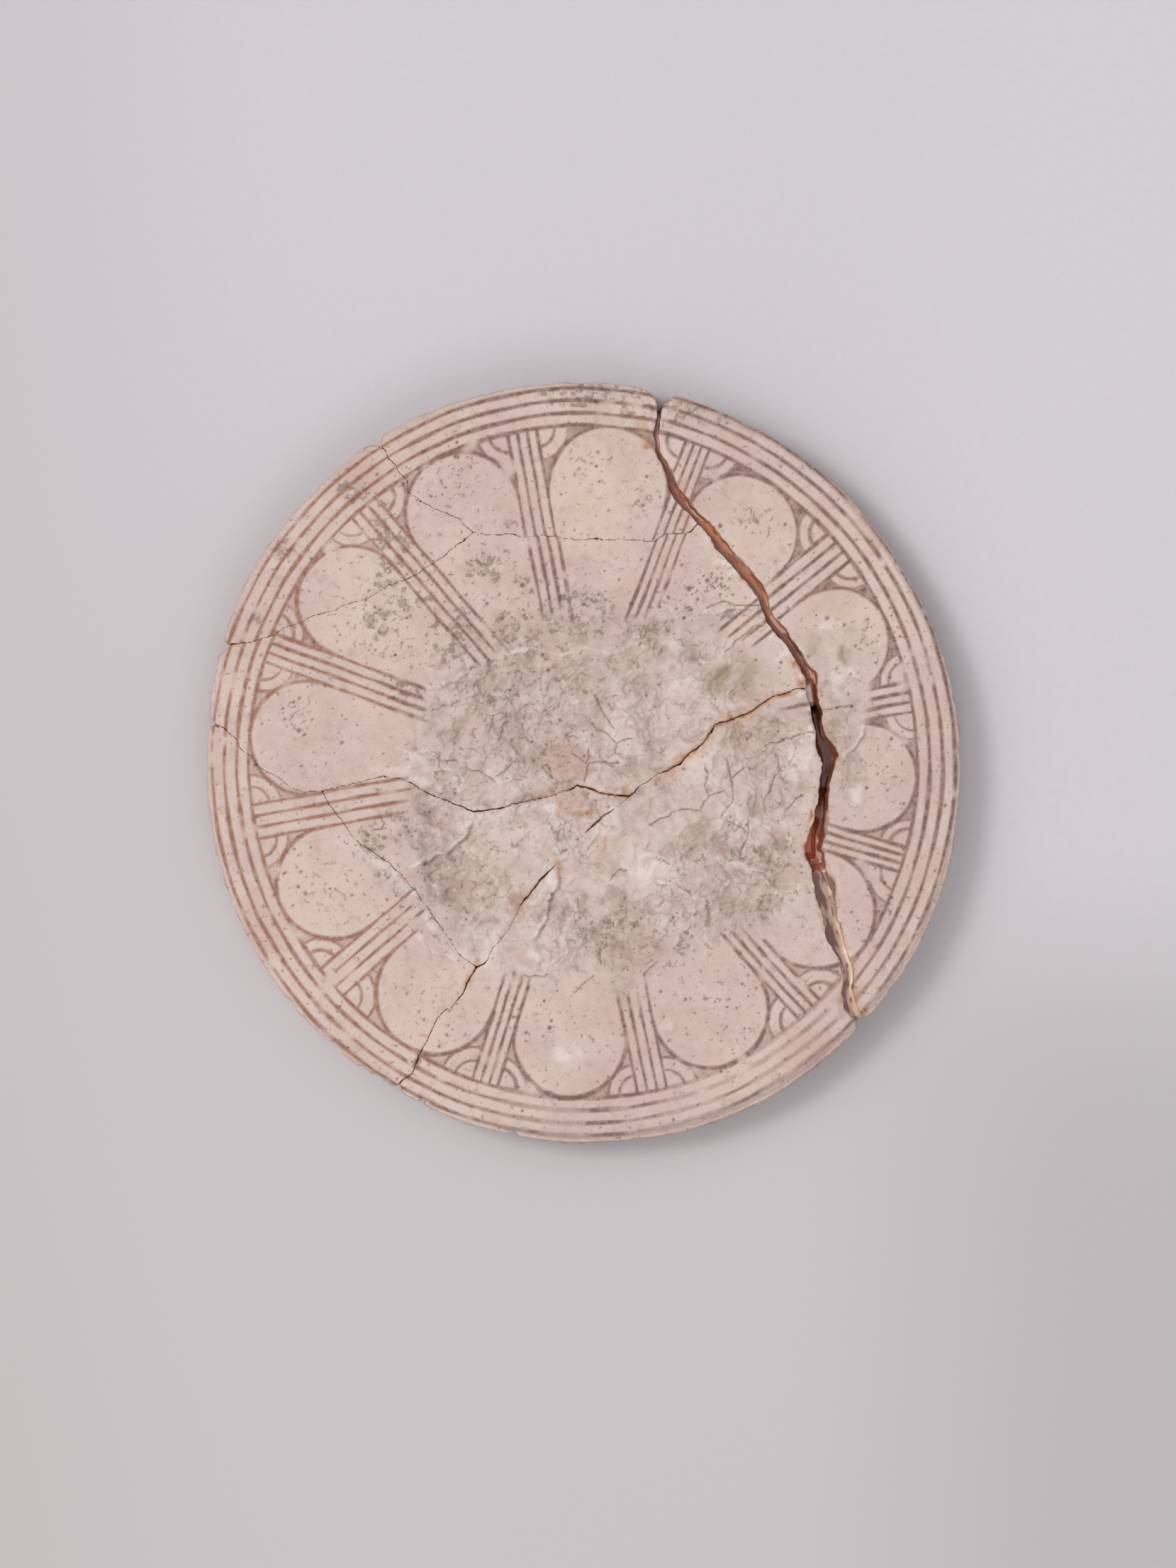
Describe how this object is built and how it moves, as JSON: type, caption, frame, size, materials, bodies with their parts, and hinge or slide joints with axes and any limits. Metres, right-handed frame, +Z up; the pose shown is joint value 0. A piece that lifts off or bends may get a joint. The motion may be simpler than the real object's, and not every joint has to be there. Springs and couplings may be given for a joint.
{
  "type": "spindle whorl disc",
  "caption": "Flat round whorl of pale clay, incised with petals and bands of lines, broken and glued, with a spalled middle.",
  "frame": {"origin": "middle of the underside, where the disc lies on a surface", "axes": "+Z up out of the incised face, +Y towards the notch at the top of the disc, +X right"},
  "size_m": [0.065, 0.065, 0.0056],
  "materials": {
    "clay": "matt, pale pinkish, worn, dirt in the incisions",
    "adhesive": "glossy, clear amber to brown"
  },
  "bodies": {
    "root": {"east_fragment": "clay", "north_fragment": "clay", "northwest_fragment": "clay", "upper_middle_fragment": "clay", "southwest_fragment": "clay", "inner_wedge_fragment": "clay", "south_fragment": "clay", "north_adhesive": "adhesive", "south_adhesive": "adhesive"}
  },
  "joints": []
}
